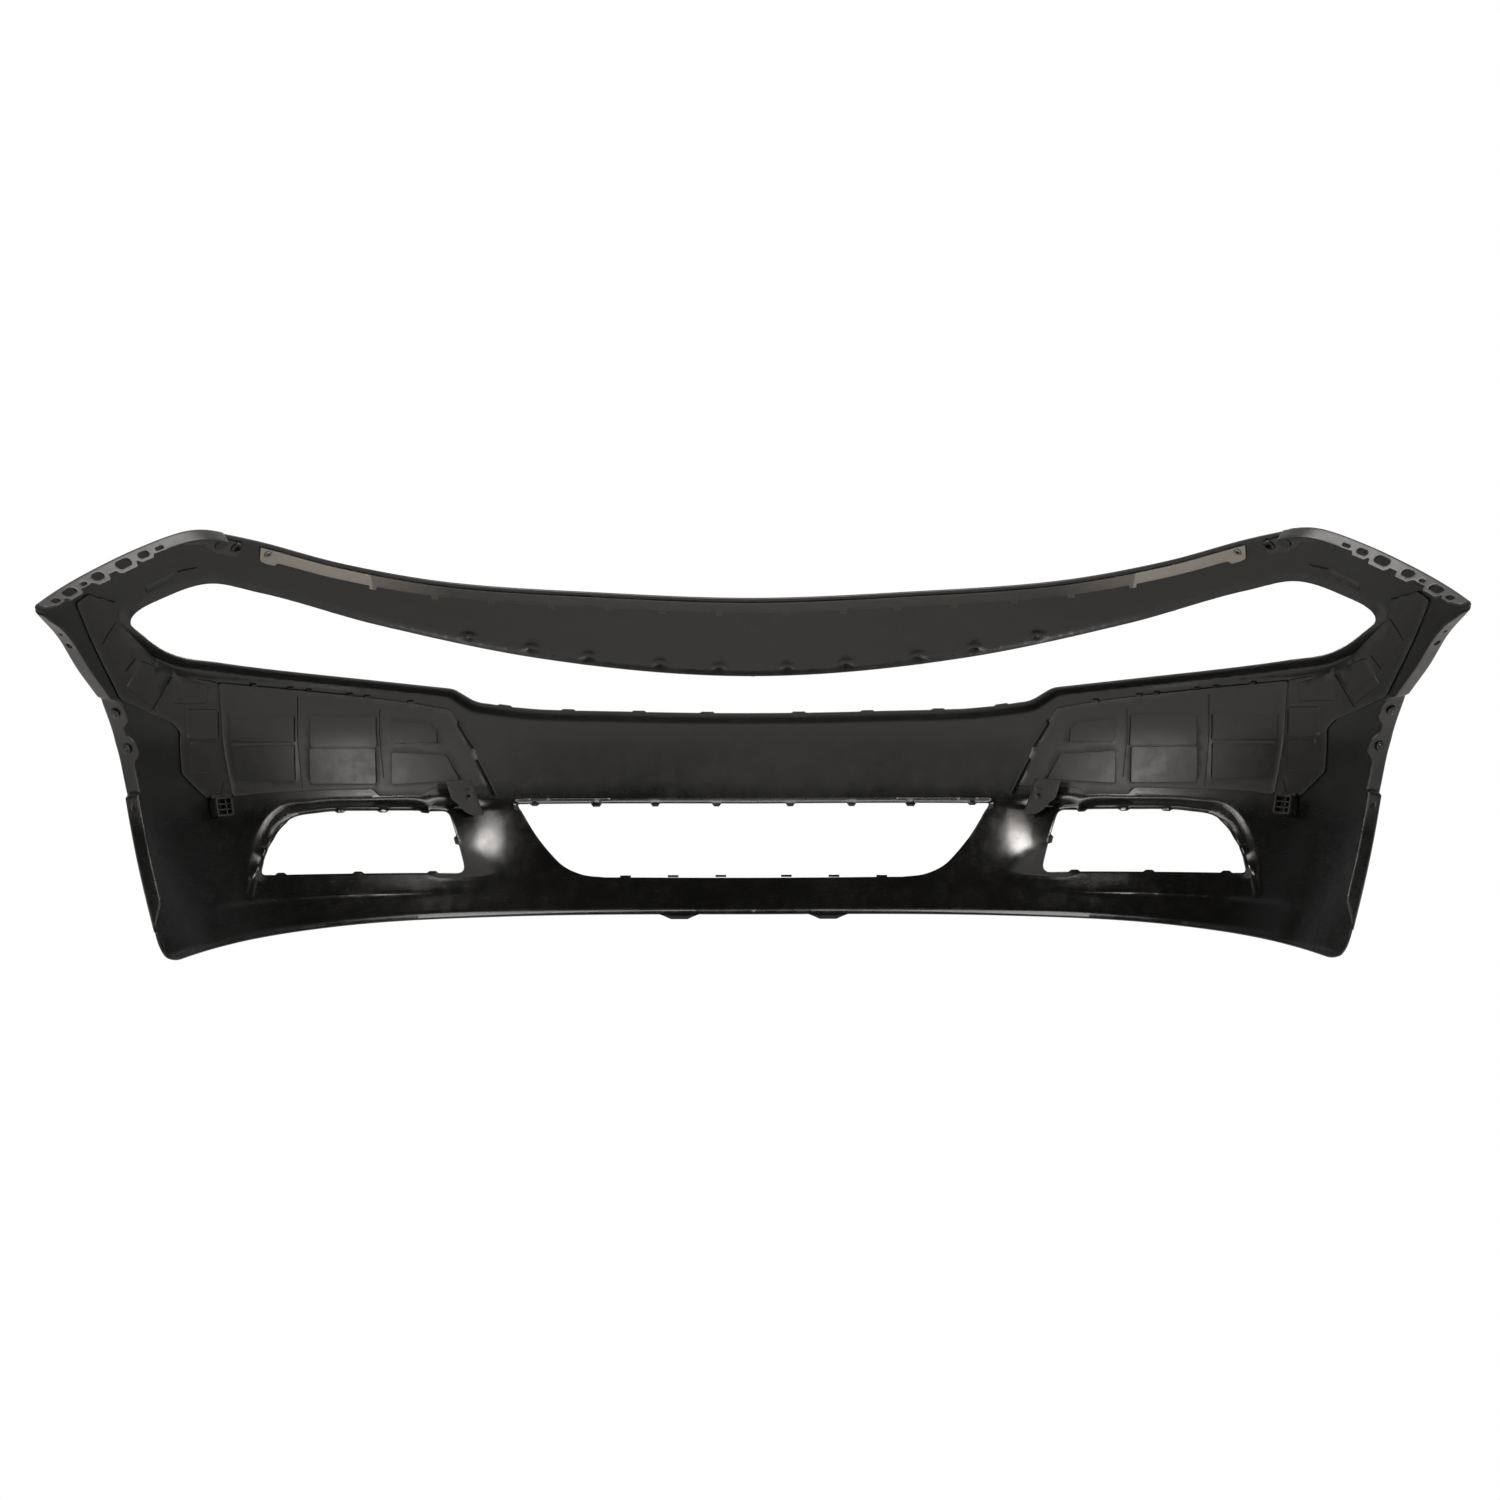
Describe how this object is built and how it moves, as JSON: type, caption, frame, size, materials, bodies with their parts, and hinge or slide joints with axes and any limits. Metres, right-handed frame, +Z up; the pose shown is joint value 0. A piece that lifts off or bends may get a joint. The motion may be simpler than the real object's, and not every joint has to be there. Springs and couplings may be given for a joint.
{
  "type": "bumper cover",
  "caption": "Front bumper cover for a saloon car: thin moulded skin with headlamp, grille, intake and fog lamp openings, edge flanges, inner supports, strip and push-in retainers.",
  "frame": {"origin": "on the plane of symmetry, below the middle of the cover's bounding box, level with its lowest point", "axes": "+X towards the car's right side, +Y towards the front of the car, +Z up"},
  "size_m": [1.8408, 0.6544, 0.5936],
  "materials": {
    "skin_black": "moulded, semi-gloss inside",
    "support_black": "moulded, satin",
    "strip_grey": "moulded, matte",
    "clip_black": "nylon, smooth",
    "rivet_metal": "plain, slightly dull"
  },
  "bodies": {
    "cover": {"fascia_skin": "skin_black", "upper_retainer_strip": "strip_grey", "headlamp_support_left": "support_black", "lattice_reinforcement_left": "support_black", "inner_mount_bracket_left": "support_black", "lower_clip_socket_left": "support_black", "strip_end_rivet_left": "rivet_metal", "arch_retainer_upper_left": "clip_black", "arch_retainer_lower_left": "clip_black", "headlamp_support_right": "support_black", "lattice_reinforcement_right": "support_black", "inner_mount_bracket_right": "support_black", "lower_clip_socket_right": "support_black", "strip_end_rivet_right": "rivet_metal", "arch_retainer_upper_right": "clip_black", "arch_retainer_lower_right": "clip_black"},
    "pin_upper_left": {"arch_pin_upper_left": "clip_black"},
    "pin_upper_right": {"arch_pin_upper_right": "clip_black"},
    "pin_lower_left": {"arch_pin_lower_left": "clip_black"},
    "pin_lower_right": {"arch_pin_lower_right": "clip_black"}
  },
  "joints": [
    {"name": "pin_upper_left_slide", "type": "slide", "parent": "cover", "child": "pin_upper_left", "axis": [-0.3636, -0.7622, -0.5355], "range_m": [0, 0.007]},
    {"name": "pin_upper_right_slide", "type": "slide", "parent": "cover", "child": "pin_upper_right", "axis": [0.3636, -0.7622, -0.5355], "range_m": [0, 0.007]},
    {"name": "pin_lower_left_slide", "type": "slide", "parent": "cover", "child": "pin_lower_left", "axis": [-0.3761, -0.9081, -0.184], "range_m": [0, 0.007]},
    {"name": "pin_lower_right_slide", "type": "slide", "parent": "cover", "child": "pin_lower_right", "axis": [0.3761, -0.9081, -0.184], "range_m": [0, 0.007]}
  ]
}
